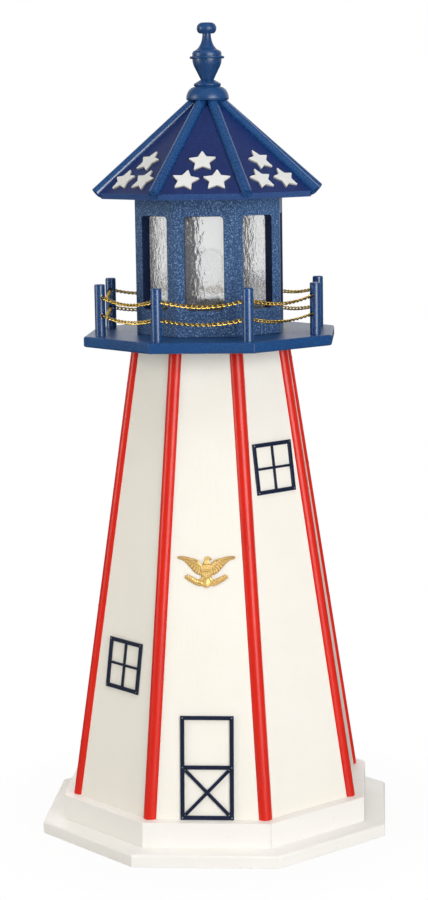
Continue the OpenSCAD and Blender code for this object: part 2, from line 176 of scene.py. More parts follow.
class Finish:
    """A material in the making. node() adds one shader node and gives back one of its outputs."""

    def __init__(self, name, tree=None):
        if tree is None:
            self.material = bpy.data.materials.new(name)
            self.material.use_nodes = True
            tree = self.material.node_tree
        self.tree = tree
        self.tree.nodes.clear()

    def node(self, kind, settings, inputs, out=0):
        made = self.tree.nodes.new(kind)
        for name, value in settings.items():
            setattr(made, name, value)
        for name, value in inputs.items():
            socket = made.inputs[name] if isinstance(name, int) else self.find(made.inputs, name)
            if isinstance(value, Socket):
                self.tree.links.new(value.socket, socket)
            else:
                socket.default_value = value
        if made.outputs:
            return Socket(self, made.outputs[out] if isinstance(out, int) else self.find(made.outputs, out))

    @staticmethod
    def find(sockets, name):
        return next(s for s in sockets if name in (s.identifier, s.name))

    def place(self, scale=EVEN):
        """The point of the object, in metres, stretched along each axis."""
        spot = self.node("ShaderNodeTexCoord", {}, {}, "Object")
        return self.node("ShaderNodeVectorMath", {"operation": "MULTIPLY"}, {0: spot, 1: scale})

    def noise(self, scale, detail=2.0, stretch=EVEN, rough=0.5):
        """Noise round 0, mostly within half a unit to each side. Scale is in waves a metre."""
        inputs = {"Vector": self.place(stretch), "Scale": scale, "Detail": detail, "Roughness": rough}
        return (self.node("ShaderNodeTexNoise", {}, inputs, "Fac") - 0.5) * 2

    def mix(self, share, first, second):
        """Share of the second colour in the first."""
        inputs = {"Factor_Float": share, "A_Color": first, "B_Color": second}
        return self.node("ShaderNodeMix", {"data_type": "RGBA"}, inputs, "Result_Color")

    def blend(self, share, first, second):
        """Share of the second shader in the first."""
        return self.node("ShaderNodeMixShader", {}, {0: share, 1: first, 2: second})

    def bump(self, height, depth):
        """Surface relief: depth in metres for a height of 1."""
        return self.node("ShaderNodeBump", {}, {"Height": height, "Distance": depth, "Strength": 1.0})

    def surface(self, **inputs):
        """The Principled shader, from inputs named with _ for a space."""
        named = {name.replace("_", " "): value for name, value in inputs.items()}
        self.output(self.node("ShaderNodeBsdfPrincipled", {}, named))
        return self.material

    def output(self, shader, kind="ShaderNodeOutputMaterial"):
        self.node(kind, {}, {"Surface": shader})


def painted(name, colour, shade, fleck, flecks, roughness, grain=EVEN, relief=1.0, gloss=0.5):
    """Brushed paint on planed wood: soft clouds of shade, fine flecks, brush marks along the grain."""
    f = Finish(name)
    cloud = (f.noise(7, 3) + 0.5).limited()
    stroke = f.noise(260, 3, grain)
    speck = f.noise(400, 3, rough=0.7)
    base = f.mix((cloud * 0.55 - speck * flecks).limited(), rgb(colour), rgb(shade))
    base = f.mix((speck * flecks * 1.6 - 0.1).limited(), base, rgb(fleck))
    height = stroke * 0.5 + speck * 0.35 + f.noise(900, 1) * 0.25
    rough = (roughness + 0.08 * stroke + 0.06 * cloud + 0.08 * speck).limited()
    normal = f.bump(height, 0.0002 * relief)
    return f.surface(Base_Color=base, Roughness=rough, Normal=normal, Specular_IOR_Level=gloss)


def bare_wood(name, light, dark, grain):
    """Planed softwood with rings drawn out along the grain."""
    f = Finish(name)
    ring = f.noise(55, 4, grain, 0.55)
    line = f.node("ShaderNodeMath", {"operation": "SINE"}, {0: ring * 26})
    share = (line * 0.35 + 0.45 + 0.3 * f.noise(400, 2, grain)).limited()
    return f.surface(
        Base_Color=f.mix(share, rgb(light), rgb(dark)),
        Roughness=(0.62 + 0.1 * share).limited(),
        Normal=f.bump(share + 0.4 * f.noise(700, 2, grain), 0.0002),
    )


def moulded(name, colour, shade, roughness):
    """Moulded plastic with a faint grain."""
    f = Finish(name)
    cloud = (f.noise(60, 3) + 0.4).limited()
    grain = f.noise(900, 2)
    return f.surface(
        Base_Color=f.mix(cloud * 0.6, rgb(colour), rgb(shade)),
        Roughness=(roughness + 0.08 * grain + 0.06 * cloud).limited(),
        Specular_IOR_Level=0.35,
        Normal=f.bump(grain * 0.5 + cloud * 0.3, 0.00012),
    )


def gold_wire(name):
    """Bright gold-plated wire."""
    f = Finish(name)
    cloud = (f.noise(300, 3) * 0.8 + 0.4).limited()
    return f.surface(
        Base_Color=f.mix(cloud * 0.5, rgb("#ffe07a"), rgb("#e6ab3e")),
        Metallic=1.0,
        Roughness=(0.2 + 0.12 * cloud).limited(),
        Normal=f.bump(cloud + 0.5 * f.noise(1500, 1), 0.00006),
    )


def gilded_casting(name):
    """Gilded casting: bright on what stands out, with brown painted shade in the hollows that the mesh marks.
    """
    f = Finish(name)
    cloud = (f.noise(260, 3) * 0.8 + 0.4).limited()
    raised = f.node("ShaderNodeAttribute", {"attribute_name": "raised"}, {}, "Fac")
    # Painted shade: brown, less metallic and rougher where the mesh marks the relief low, as in the creases
    # between feathers.
    hollow = (1.15 - raised * 1.2).limited()
    base = f.mix((cloud * 0.45).limited(), rgb("#ffdf8f"), rgb("#f3b957"))
    return f.surface(
        Base_Color=f.mix(hollow, base, rgb("#a5611c")),
        Metallic=(0.4 - 0.25 * hollow).limited(),
        Roughness=(0.3 + 0.2 * hollow + 0.08 * f.noise(1200, 1)).limited(),
        Normal=f.bump(cloud + 0.5 * f.noise(1500, 1), 0.00008),
    )


def plated(name, colour, roughness):
    """Plated steel, clouded with grey."""
    f = Finish(name)
    cloud = (f.noise(220, 3) + 0.5).limited()
    return f.surface(
        Base_Color=f.mix(cloud * 0.5, rgb(colour), rgb("#8b8d90")),
        Metallic=1.0,
        Roughness=(roughness + 0.12 * cloud).limited(),
        Normal=f.bump(f.noise(900, 2), 0.00005),
    )


def hammered_acrylic(name):
    """Clear acrylic whose face is cast in small hollows; the mesh holds the larger ones."""
    f = Finish(name)
    hollow = f.noise(190, 2, (1, 1, 0.5), 0.5)
    return f.surface(
        Base_Color=f.mix((f.noise(40, 2) + 0.5).limited() * 0.5, rgb("#fdfdfd"), rgb("#f6f8f8")),
        Roughness=(0.11 + 0.06 * f.noise(300, 1)).limited(),
        Transmission_Weight=0.92,
        IOR=1.38,
        Normal=f.bump(hollow, 0.00045),
    )


def clear_glass(name):
    """Blown glass so thin that it hardly bends the light."""
    f = Finish(name)
    cloud = (f.noise(45, 2) + 0.5).limited()
    return f.surface(
        Base_Color=f.mix(cloud * 0.4, rgb("#ffffff"), rgb("#f6f8f8")),
        Roughness=(0.02 + 0.02 * cloud).limited(),
        Transmission_Weight=1.0,
        IOR=1.05,
        Normal=f.bump(f.noise(300, 1), 0.00002),
    )


# Meshes


class Shape:
    """Points in millimetres and faces, gathered until piece() makes one mesh of them."""

    def __init__(self):
        self.points, self.faces, self.slots, self.marks = [], [], [], []

    def add(self, form, place=None, slot=0, marks=None):
        points, faces = form
        start = len(self.points)
        self.points += [place @ Vector(p) for p in points] if place else [Vector(p) for p in points]
        self.faces += [[start + i for i in face] for face in faces]
        self.slots += slot if isinstance(slot, list) else [slot] * len(faces)
        self.marks += marks or [1.0] * len(points)
        return self


def piece(name, shape, body, finishes, replaces=(), smooth=40):
    """Makes the object from its shape."""
    mesh = bpy.data.meshes.new(name)
    mesh.from_pydata([p * MM for p in shape.points], [], shape.faces)
    # How raised each point is; the gilded casting paints shade where it is low.
    mesh.attributes.new("raised", "FLOAT", "POINT").data.foreach_set("value", shape.marks)
    for finish in finishes:
        mesh.materials.append(finish)
    mesh.polygons.foreach_set("material_index", shape.slots)
    work = bmesh.new()
    work.from_mesh(mesh)
    bmesh.ops.recalc_face_normals(work, faces=work.faces)
    work.to_mesh(mesh)
    work.free()
    made = bpy.data.objects.new(name, mesh)
    bpy.context.scene.collection.objects.link(made)
    settle(made, body, replaces, smooth)


def settle(made, body, replaces, smooth):
    """Smooths the object up to an angle, hangs it on its body and hides the parts that it replaces.

    In the shading the large faces stay flat and the narrow ones between them turn the light."""
    mesh = made.data
    mesh.polygons.foreach_set("use_smooth", [True] * len(mesh.polygons))
    mesh.set_sharp_from_angle(angle=math.radians(smooth))
    made.modifiers.new("flat_faces", "WEIGHTED_NORMAL").keep_sharp = True
    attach(made, body)
    if replaces:
        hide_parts(*replaces)


def loft(rings, loop=False):
    """Quads between rings of points. Loop joins the last ring to the first, else the ends are closed."""
    size = len(rings[0])
    faces = []
    for i in range(len(rings) - (0 if loop else 1)):
        a, b = i * size, (i + 1) % len(rings) * size
        faces += [(a + k, a + (k + 1) % size, b + (k + 1) % size, b + k) for k in range(size)]
    if not loop:
        last = (len(rings) - 1) * size
        faces += [tuple(range(size)), tuple(range(last, last + size))]
    return [p for ring in rings for p in ring], faces


def circle(steps):
    """Cosine and sine of evenly spaced turns."""
    return [(math.cos(a), math.sin(a)) for a in (math.tau * k / steps for k in range(steps))]


def turned(outline, steps=64, loop=False):
    """A turned form about Z from (radius, height) pairs."""
    spots = circle(steps)
    return loft([[(r * c, r * s, z) for c, s in spots] for r, z in outline], loop)


def grid_rim(rows, cols):
    """The points round the edge of a grid that is numbered row by row, with cols + 1 points in each."""
    row = cols + 1
    rim = list(range(cols)) + [i * row + cols for i in range(rows)]
    return rim + [rows * row + j for j in range(cols, 0, -1)] + [i * row for i in range(rows, 0, -1)]


def arc(r, z, rr, rz, start, end, steps):
    """Points of an elliptic arc in a turned outline, angles in degrees."""
    angles = [math.radians(start + (end - start) * k / steps) for k in range(steps + 1)]
    return [(r + rr * math.cos(a), z + rz * math.sin(a)) for a in angles]


def moved(x, y, z):
    return Matrix.Translation((x, y, z))


def turn(degrees, axis):
    return Matrix.Rotation(math.radians(degrees), 4, axis)


def side_place(side):
    """Turns X to face out of side number side; side 1 is the front, the count runs to its right."""
    return Matrix.Rotation((side - 1) * TURN - math.pi / 2, 4, "Z")


def wall_place(side, z):
    """On the face of a tower wall: X to the right, Y up the wall, Z out of it."""
    lean = Matrix.Rotation(-LEAN, 4, "Y")
    upright = Matrix(((0, 0, 1, 0), (1, 0, 0, 0), (0, 1, 0, 0), (0, 0, 0, 1)))
    out = FOOT_IN - (z - Z_TOWER) * math.tan(LEAN)
    return side_place(side) @ moved(out, 0, z) @ lean @ upright


def roof_place(side, down, across):
    """On the face of a roof panel: X down the slope, Z out of it."""
    spot = (PEAK_IN + down * math.cos(PITCH), across, Z_PEAK - down * math.sin(PITCH))
    return side_place(side) @ moved(*spot) @ Matrix.Rotation(PITCH, 4, "Y")


def round_over(work, width, chosen=None):
    """Rounds the outer edges of the boards, or of those the ones with both ends chosen."""
    steep = math.radians(28)
    sharp = [e for e in work.edges if e.is_manifold and e.is_convex and e.calc_face_angle() > steep]
    if chosen:
        sharp = [e for e in sharp if all(chosen(v.co) for v in e.verts)]
    bmesh.ops.bevel(
        work, geom=sharp, affect="EDGES", offset=width * MM, segments=3, profile=0.5, clamp_overlap=True
    )


def sanded(node, finish, ease, cut_painted_light_and_shade=None, facing=None, rim=0):
    """The node's boards with their sharp edges rounded over, as sanded before painting.

    Given a second finish, the faces turned away from where the board is facing take it: its cuts,
    the outer half of their rounding, and its back. That finish is painted shade on the lantern's
    window reveals and painted light on the roof's eave cuts. Rim is the rounding of an opening's
    edges, and then the cuts outside the opening keep the board's own finish."""
    source = frame["nodes"][node]
    across = Vector((0, 0, 1)).cross(facing) if rim else None

    def by_opening(spot):
        return abs(spot.dot(across)) < RIM_REACH * MM

    work = bmesh.new()
    work.from_mesh(source.data)
    bmesh.ops.remove_doubles(work, verts=work.verts, dist=0.01 * MM)
    bmesh.ops.dissolve_limit(work, angle_limit=math.radians(0.6), verts=work.verts, edges=work.edges)
    if rim:
        round_over(work, rim, by_opening)
        round_over(work, ease, lambda spot: not by_opening(spot))
    elif ease:
        round_over(work, ease)
    mesh = bpy.data.meshes.new("sanded_" + node)
    work.to_mesh(mesh)
    work.free()
    mesh.materials.append(finish)
    if cut_painted_light_and_shade:
        mesh.materials.append(cut_painted_light_and_shade)
        # Faces turned away take the second finish: painted shade on the lantern's reveals, painted light on
        # the eave cuts.
        cut = [
            int(face.normal.dot(facing) < 0.75 and (not rim or by_opening(face.center)))
            for face in mesh.polygons
        ]
        mesh.polygons.foreach_set("material_index", cut)
    made = bpy.data.objects.new(mesh.name, mesh)
    bpy.context.scene.collection.objects.link(made)
    settle(made, source["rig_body"], [node], 35)


def dress(node, finish):
    """A node that stays as it is gets its finish."""
    for slot in frame["nodes"][node].material_slots:
        slot.material = finish


# Tower


def batten_axis(side, up):
    """On the axis of the corner batten after side, up mm above the tower's foot: X out, Z along it."""
    sink = (BATTEN_D / 2 - BATTEN_PROUD) / math.cos(LEAN)
    foot, head = ((inside - sink) / math.cos(HALF) for inside in (FOOT_IN, HEAD_IN))
    lean = math.atan((foot - head) / TOWER_H)
    spot = moved(foot - up * math.tan(lean), 0, Z_TOWER + up)
    return side_place(side) @ Matrix.Rotation(HALF, 4, "Z") @ spot, lean


def make_battens(finish):
    """Round battens let into the tower's corners, cut level at both ends."""
    steps, rows, ease = 40, 12, 0.6
    levels = [(0, ease), (ease, 0)] + [(TOWER_H * k / rows, 0) for k in range(1, rows)]
    levels += [(TOWER_H - ease, 0), (TOWER_H, ease)]
    shape = Shape()
    for side in range(1, SIDES + 1):
        rings = []
        for up, less in levels:
            place, lean = batten_axis(side, up)
            r = BATTEN_D / 2 - less
            rings.append([place @ Vector((r * c / math.cos(lean), r * s, 0)) for c, s in circle(steps)])
        shape.add(loft(rings))
    piece("round_battens", shape, "tower", [finish], ["corner_battens"], 50)


def plug(radius, height, steps=20):
    """A filled fixing: a low round boss with a soft edge and a slight dish."""
    outline = [(0.01, height * 0.5), (radius * 0.55, height * 0.6), (radius * 0.8, height)]
    return turned(outline + [(radius, height * 0.7), (radius * 1.1, 0), (0.01, -0.2)], steps)


# For the battens after sides 8 and 1: each nail's height above the tower's foot and its turn in degrees
NAILS = {8: ((462, 22), (135, 14)), 1: ((66, -32), (396, -18))}


def make_nail_marks(finish):
    """Filled and painted nail heads down the battens."""
    luck = random.Random(7)
    shape = Shape()
    for side in range(1, SIDES + 1):
        scattered = [(up + luck.uniform(-20, 20), luck.uniform(-30, 30)) for up in (70, 270, 470, 640)]
        for up, round_by in NAILS.get(side, scattered):
            place, lean = batten_axis(side, up)
            place = place @ Matrix.Rotation(-lean, 4, "Y") @ turn(round_by, "Z")
            shape.add(plug(2.1, 0.35), place @ moved(BATTEN_D / 2 - 0.12, 0, 0) @ turn(90, "Y"))
    piece("batten_nail_marks", shape, "tower", [finish])


def strip(shape, place, start, end, width, height, soft=0.9):
    """A bar of moulding between two points of a plane, its outer edges rounded over."""
    start, end = Vector(start), Vector(end)
    along = end - start
    half = width / 2
    bend = [math.radians(a) for a in (0, 30, 60, 90)]
    right = [(half - soft + soft * math.cos(a), height - soft + soft * math.sin(a)) for a in bend]
    outline = [(half, 0)] + right + [(-x, z) for x, z in reversed(right)] + [(-half, 0)]
    rings = []
    for x, less in ((0, 0.2), (0.2, 0), (along.length - 0.2, 0), (along.length, 0.2)):
        rings.append([(x, y * (1 - less / half), max(0, z - less)) for y, z in outline])
    heading = Matrix.Rotation(math.atan2(along.y, along.x), 4, "Z")
    shape.add(loft(rings), place @ moved(start.x, start.y, 0) @ heading)


def frame_bars(shape, place, wide, high, bar, height):
    """Two stiles and two rails of a trim, the rails a little lower than the stiles."""
    x, y = wide / 2 - bar / 2, high / 2 - bar / 2
    for s in (-1, 1):
        strip(shape, place, (s * x, -high / 2), (s * x, high / 2), bar, height)
        strip(shape, place, (-wide / 2 + bar, s * y), (wide / 2 - bar, s * y), bar, height - 0.08)


# Width and thickness of the trims' bars. DOOR_RAIL is the middle rail's height over the door's foot, and
# WINDOW_TRIMS are the side and the level of each window trim's middle.
TRIM_BAR, TRIM_T = 6, 3
DOOR_W, DOOR_H, DOOR_RAIL = 79, 153, 77
WINDOW_TRIM_W = 76
WINDOW_TRIMS = ((2, 564), (8, 269))


def make_pins(pins, place, spots):
    """Heads of the pins that hold a trim."""
    for x, y in spots:
        pins.add(plug(0.8, 0.25, 12), place @ moved(x, y, TRIM_T - 0.05))


def make_door_trim(finish, pins):
    """A frame with a middle rail, and two crossed braces below it."""
    shape = Shape()
    place = wall_place(1, Z_TOWER + DOOR_H / 2 * math.cos(LEAN)) @ moved(0, 0, GLUE)
    frame_bars(shape, place, DOOR_W, DOOR_H, TRIM_BAR, TRIM_T)
    inner, rail = DOOR_W / 2 - TRIM_BAR, DOOR_RAIL - DOOR_H / 2
    strip(shape, place, (-inner, rail), (inner, rail), TRIM_BAR, TRIM_T - 0.08)
    x, low, top = inner - 1.6, -DOOR_H / 2 + TRIM_BAR + 1.4, rail - TRIM_BAR / 2 - 1.4
    strip(shape, place, (-x, low), (x, top), 5, TRIM_T - 0.2)
    strip(shape, place, (-x, top), (x, low), 5, TRIM_T - 0.35)
    piece("door_mouldings", shape, "tower", [finish], ["door_trim"], 40)
    edge, far = DOOR_W / 2 - TRIM_BAR / 2, DOOR_H / 2 - TRIM_BAR / 2
    make_pins(pins, place, [(s * edge, y) for s in (-1, 1) for y in (-far, rail, far)])


def make_window_trims(finish, pins):
    """Frames with one upright and one level bar."""
    shape = Shape()
    inner, edge = WINDOW_TRIM_W / 2 - TRIM_BAR, WINDOW_TRIM_W / 2 - TRIM_BAR / 2
    for side, z in WINDOW_TRIMS:
        place = wall_place(side, z) @ moved(0, 0, GLUE)
        frame_bars(shape, place, WINDOW_TRIM_W, WINDOW_TRIM_W, TRIM_BAR, TRIM_T)
        strip(shape, place, (0, -inner), (0, inner), 3.6, TRIM_T - 0.2, 0.7)
        strip(shape, place, (-inner, 0), (inner, 0), 3.6, TRIM_T - 0.3, 0.7)
        make_pins(pins, place, ((-edge, edge), (edge, edge), (-edge, -edge), (edge, -edge)))
    piece("window_mouldings", shape, "tower", [finish], ["window_trims"], 40)


def make_trims(finish, pin_finish):
    """Door and window trims: flat mouldings glued and pinned to the walls."""
    pins = Shape()
    make_door_trim(finish, pins)
    make_window_trims(finish, pins)
    piece("trim_pins", pins, "tower", [pin_finish])


def make_screw_plugs(finish):
    """Two filled screw heads in each skirt board."""
    shape = Shape()
    face = -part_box("skirt_boards")[0].y / MM
    height, spots = 38.6, (-60, 33.5)
    for side in range(1, SIDES + 1):
        for across in spots:
            shape.add(plug(3.4, 0.4), side_place(side) @ moved(face, across, height) @ turn(90, "Y"))
    piece("skirt_screw_plugs", shape, "tower", [finish])


# Eagle


# Half the span of the wings, and the eagle's height
WING_REACH = 43
EAGLE_H = 47.3


def feather(length, width, height, bend=0.0, tip=0.5):
    """A feather or leaf from its root along X: a crowned blade with a shaft, and how raised each point is
    (low is painted shade).
    """
    across, along = 8, 10
    points, marks = [], []
    for i in range(along + 1):
        t = i / along
        end = math.sqrt(max(0, 1 - ((t - 1 + tip) / tip) ** 2)) if t > 1 - tip else 1
        half = width / 2 * max(0.04, min(1, 0.5 + 2.4 * t) * end)
        for j in range(across + 1):
            v = 2 * j / across - 1
            crown = 1 - 0.35 * v ** 2 - 0.65 * v ** 8
            shaft = 0.22 * max(0, 1 - abs(v) * 4) * (1 - t)
            rise = height * (crown * (0.75 + 0.25 * end) + shaft)
            points.append((t * length, v * half + bend * length * t * t, rise))
            marks.append(0.12 + 0.88 * (1 - abs(v) ** 3) * max(0.25, end))
    row = across + 1
    faces = [
        (i * row + j, (i + 1) * row + j, (i + 1) * row + j + 1, i * row + j + 1)
        for i in range(along) for j in range(across)
    ]
    return points, faces + [grid_rim(along, across)], marks


def boss(rx, ry, height):
    """A low dome, and how raised each point is (low is painted shade)."""
    around = 20
    rings, marks = [], []
    for k in range(7):
        low, high = max(0.01, math.cos(math.radians(15 * k))), math.sin(math.radians(15 * k))
        rings.append([(rx * low * c, ry * low * s, height * high) for c, s in circle(around)])
        marks += [0.3 + 0.7 * high] * around
    return *loft(rings), marks


class Relief:
    """Lays forms on the ground of a relief, on both sides of it where they come in pairs."""

    def __init__(self, base):
        self.base = base
        self.shape = Shape()

    def lay(self, form, x, y, z, angle=0.0, tilt=0.0, both=False):
        points, faces, marks = form
        place = moved(x, y, z) @ turn(angle, "Z") @ turn(tilt, "X")
        for s in (1, -1) if both else (1,):
            self.shape.add((points, faces), self.base @ Matrix.Scale(s, 4, (1, 0, 0)) @ place, 0, marks)

    def toward(self, start, end, z, width, height, bend=0.0, tilt=0.0, both=True, tip=0.5):
        dx, dy = end[0] - start[0], end[1] - start[1]
        form = feather(math.hypot(dx, dy), width, height, bend, tip)
        self.lay(form, *start, z, math.degrees(math.atan2(dy, dx)), tilt, both)


def between(start, end, share):
    """The point at that share of the way from start to end."""
    return start[0] + (end[0] - start[0]) * share, start[1] + (end[1] - start[1]) * share


def feather_tip(t):
    """Where the long feathers of the right wing end, from the outermost at 0 to the body at 1."""
    return WING_REACH * (1 - 0.78 * t), EAGLE_H * (0.465 - 0.56 * t * t * (3 - 2 * t))


def stem(t):
    """The line of the right branch."""
    return WING_REACH * (0.05 + 0.6 * t), EAGLE_H * (-0.4 + 0.24 * t ** 1.4)


def wings(r):
    """Both wings: their ground, ten long feathers, eight shorter, two rows of small ones, and the arm."""
    rings = []
    for k in range(13):
        (x, y), (u, v) = (27 - 20 * k / 12, 19.6 - 9.5 * (k / 12) ** 1.5), feather_tip(k / 12)
        rings.append([(x, y, 0), (x, y, 0.5), (u * 0.96, v * 0.96, 0.5), (u * 0.96, v * 0.96, 0)])
    points, faces = loft(rings)
    r.lay((points, faces, [0.3] * len(points)), 0, 0, 0, both=True)
    for k in range(10):
        t = k / 9
        root = (25 - 19 * t, 19.2 - 13 * t ** 1.5)
        r.toward(root, feather_tip(t), 0.25 + 0.06 * k, 5.6 - 0.8 * t, 1.15, -0.03, 9, tip=0.35)
    for k in range(8):
        t = k / 7
        root = (24 - 18 * t, 19.2 - 11 * t ** 1.5)
        r.toward(root, between(root, feather_tip(t), 0.55), 1.1 + 0.06 * k, 4.6, 1.0, -0.02, 9, tip=0.45)
    for row, share in ((0, 0.30), (1, 0.16)):
        for k in range(9 - row):
            t = (k + 0.5 * row) / 8
            root = (27 - 20 * t, 19.6 - 9.5 * t ** 1.5)
            r.toward(root, between(root, feather_tip(t), share), 1.7 + 0.35 * row, 3.6, 0.9, tip=0.6)
    r.toward((8.5, 9.5), (14.5, 17.0), 1.3, 5.0, 1.7, 0.05)
    r.toward((13.5, 17.6), (WING_REACH, 22.4), 1.2, 3.4, 1.7, 0.02, tip=0.75)


def branches(r):
    """Two leafy branches with berries, and the claws that hold them."""
    for k in range(1, 8):
        t = k / 7.5
        x, y = stem(t)
        for s in (-1, 1):
            leaf = feather(7.6 - 1.6 * t, 3.7 - 0.5 * t, 1.3, 0.04 * s, 0.8)
            r.lay(leaf, x, y, 0.5 + 0.15 * (k % 2), 22 + 18 * t + 36 * s, both=True)
            r.lay(boss(0.8, 0.8, 0.9), x + 1.6 * s, y + 1.2, 1.4, both=True)
    r.toward(stem(0.9), (31.2, -5.2), 0.8, 4.0, 1.4, tip=0.8)
    for k in range(6):
        r.toward(stem(k / 6.2), stem((k + 1.2) / 6.2), 1.2, 1.7, 0.9, tip=0.2)
    r.toward((4.4, -7.5), (8.6, -14.6), 0.9, 5.0, 1.9, 0.06, tip=0.4)
    for k in (-1, 0, 1):
        r.toward((8.4, -13.4), (9.6 + 1.9 * k, -17.2 + 0.5 * abs(k)), 1.9, 1.3, 1.0)


def body_and_head(r):
    """Breast and neck feathers, the head turned to the viewer's right, beak, brow and eye."""
    r.lay(boss(9.2, 12.5, 2.2), 0.3, 0.5, 0.3)
    for row in range(3):
        for k in range(5 - row % 2):
            x = (k - 2 + 0.5 * (row % 2)) * 2.7
            start, end = (x * 0.8, 10.4 - 2.2 * row), (x, 6.4 - 2.2 * row)
            r.toward(start, end, 1.4 + 0.1 * row, 2.9, 1.1, both=False, tip=0.7)
    for k in range(6):
        x = 1.2 * k - 2.4
        start, end = (0.6 + x * 0.45, 19.2), (x * 1.55 - 0.2, 9.6 + 0.3 * abs(k - 2.5))
        r.toward(start, end, 1.2 + 0.12 * (k % 2), 2.9, 1.5, both=False, tip=0.55)
    r.lay(boss(3.7, 3.1, 2.3), 1.5, 19.9, 1.0, 12)
    r.toward((3.6, 20.6), (8.6, 18.9), 1.3, 2.7, 1.6, -0.10, both=False, tip=0.85)
    r.toward((0.2, 21.4), (5.4, 21.0), 2.4, 1.5, 1.0, 0.06, both=False)
    r.lay(boss(0.6, 0.6, 0.7), 2.9, 20.3, 2.9)


def shield(r):
    """A shield with a plain band over upright stripes."""
    wide = 8.2
    edge = [(-wide, 5.2), (-wide * 0.98, 0), (-wide * 0.8, -5), (-wide * 0.45, -9.2), (0, -12.2)]
    edge += [(-x, y) for x, y in reversed(edge[:-1])]
    for share, low, high, tone in ((1.0, 1.4, 2.9, 0.75), (0.86, 2.5, 2.6, 0.05)):
        rings = [[(x * share, (y + 2) * share - 2, z) for x, y in edge] for z in (low, high - 0.25)]
        rings.append([(x * share * 0.94, (y + 2) * share * 0.95 - 2, high) for x, y in edge])
        points, faces = loft(rings)
        r.lay((points, faces, [tone] * len(points)), 0, 0, 0)
    for k in range(-2, 3):
        r.toward((2.75 * k, 0.2), (2.75 * k * 0.82, 2.6 * abs(k) - 10.2), 2.3, 1.7, 0.9, both=False, tip=0.15)
    r.lay(feather(14.6, 4.0, 1.0, 0, 0.12), -7.3, 2.7, 2.3)


def make_eagle(finish):
    """A spread eagle in low relief: rows of feathers, turned head, shield, fanned tail, two branches."""
    r = Relief(wall_place(1, 418) @ moved(0, 0, GLUE))
    wings(r)
    for k in (-3, 3, -2, 2, -1, 1, 0):
        start, end = (0.6 * k, -9), (2.2 * k, 0.28 * k * k - 22.9)
        r.toward(start, end, 0.6 + 0.25 * (3 - abs(k)), 3.9, 1.1, both=False, tip=0.3)
    branches(r)
    body_and_head(r)
    shield(r)
    piece("spread_eagle", r.shape, "tower", [finish], ["eagle_ornament"], 50)


# Gallery

# Links in millimetres, and the twist of each end of a link in degrees. A chain hangs freely between
# the mouths of the posts' holes, HANG_END to each side of its middle.
LINK_L, LINK_W, LINK_WIRE = 11.6, 6.4, 2.0
LINK_PITCH = 7.6
LINK_COUNT = 16
LINK_TWIST = 46
HANG_END = BAY / 2 - POST_D / 2 + 1
CHAIN_ROWS = (("upper", 57.5, 8), ("lower", 30.5, 7))


def curb_link():
    """An oval link of round wire, its ends twisted against each other so that the chain lies flat."""
    radius = (LINK_W - LINK_WIRE) / 2
    straight = (LINK_L - LINK_W) / 2
    steps, around = 30, 8
    centres, outward = [], []
    for c, s in circle(steps):
        x = radius * c + math.copysign(straight, c) * min(1, abs(c) * 3)
        twist = turn(LINK_TWIST * x / (LINK_L / 2), "X")
        centres.append(twist @ Vector((x, radius * s, 0)))
        outward.append(twist @ Vector((c, s, 0)))
    rings = []
    for k, out in enumerate(outward):
        along = (centres[(k + 1) % steps] - centres[k - 1]).normalized()
        out = (out - along * out.dot(along)).normalized()
        side = along.cross(out)
        rings.append([centres[k] + (out * c + side * s) * LINK_WIRE / 2 for c, s in circle(around)])
    return loft(rings, loop=True)


def drop(y, sag):
    """How far the chain hangs below its ends."""
    return sag * (1 - (y / HANG_END) ** 2) if abs(y) < HANG_END else 0


def swag(link, side, z, sag, luck):
    """One chain from post to post. Its links roll slowly about the line of the chain."""
    shape = Shape()
    swing, start, lean = luck.uniform(0.2, 0.5), luck.uniform(0, math.tau), luck.uniform(0.5, 0.8)
    for k in range(LINK_COUNT):
        y = (k - (LINK_COUNT - 1) / 2) * LINK_PITCH
        inner, outer = drop(y - LINK_PITCH / 2, sag), drop(y + LINK_PITCH / 2, sag)
        roll = lean + swing * math.sin(start + 5 * k / LINK_COUNT)
        place = (
            side_place(side)
            @ moved(BAY_IN, y, Z_FLOOR + z - (inner + outer) / 2)
            @ Matrix.Rotation(math.atan((inner - outer) / LINK_PITCH), 4, "X")
            @ turn(90, "Z")
            @ Matrix.Rotation(math.pi / 2 + roll, 4, "X")
        )
        shape.add(link, place)
    return shape


def make_chains(finish):
    """Each swag of links is a piece of its own, which swings with its body."""
    link = curb_link()
    luck = random.Random(3)
    for row, z, sag in CHAIN_ROWS:
        for side in range(1, SIDES + 1):
            shape = swag(link, side, z, sag, luck)
            name = f"{row}_swag_links_{side}"
            piece(name, shape, f"{row}_swag_{side}", [finish], [f"{row}_chain_{side}"], 80)


# Lantern room


# A pane's thickness, and how far it laps the wall round its window
PANE_T = 2.5
PANE_LAP = 7
PANE_ROWS, PANE_COLS = 76, 36


def pane_waves(luck):
    """Nine waves for the face of a pane, each with its rate across and down, its start and its sway."""
    return [
        (luck.uniform(0.16, 0.6), luck.uniform(0.05, 0.3), luck.uniform(0, math.tau), luck.uniform(-0.5, 0.5))
        for _ in range(9)
    ]


